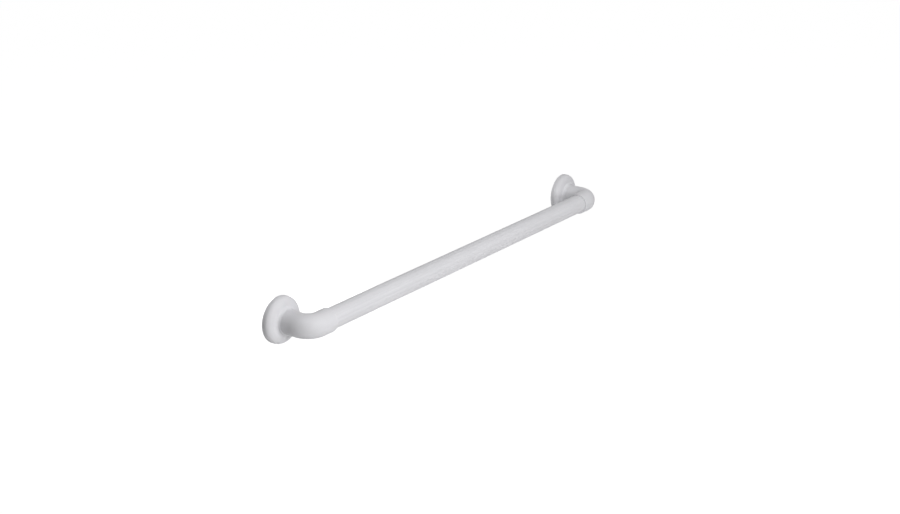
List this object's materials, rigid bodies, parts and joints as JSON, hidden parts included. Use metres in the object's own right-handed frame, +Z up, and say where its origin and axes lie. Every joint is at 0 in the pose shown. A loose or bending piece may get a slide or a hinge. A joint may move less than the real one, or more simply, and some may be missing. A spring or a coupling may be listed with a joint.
{
  "type": "grab bar",
  "caption": "Straight wall-mounted grab bar: a fluted white plastic grip with a metal core, moulded elbow ends and domed clip-on covers over the wall screws.",
  "frame": {"origin": "on the wall plane, midway between the two flange centres", "axes": "+X along the bar, +Y into the wall, +Z up; the wall is the plane Y = 0"},
  "size_m": [0.914, 0.0852, 0.078],
  "materials": {
    "grip_plastic": "satin extruded",
    "moulded_plastic": "satin moulded",
    "cover_plastic": "satin moulded",
    "core_metal": "drawn",
    "screw_steel": "plated"
  },
  "bodies": {
    "root": {"grip_tube": "grip_plastic", "core_tube": "core_metal", "left_elbow": "moulded_plastic", "right_elbow": "moulded_plastic", "left_flange_cover": "cover_plastic", "right_flange_cover": "cover_plastic", "tube_screws": "screw_steel"}
  },
  "joints": []
}
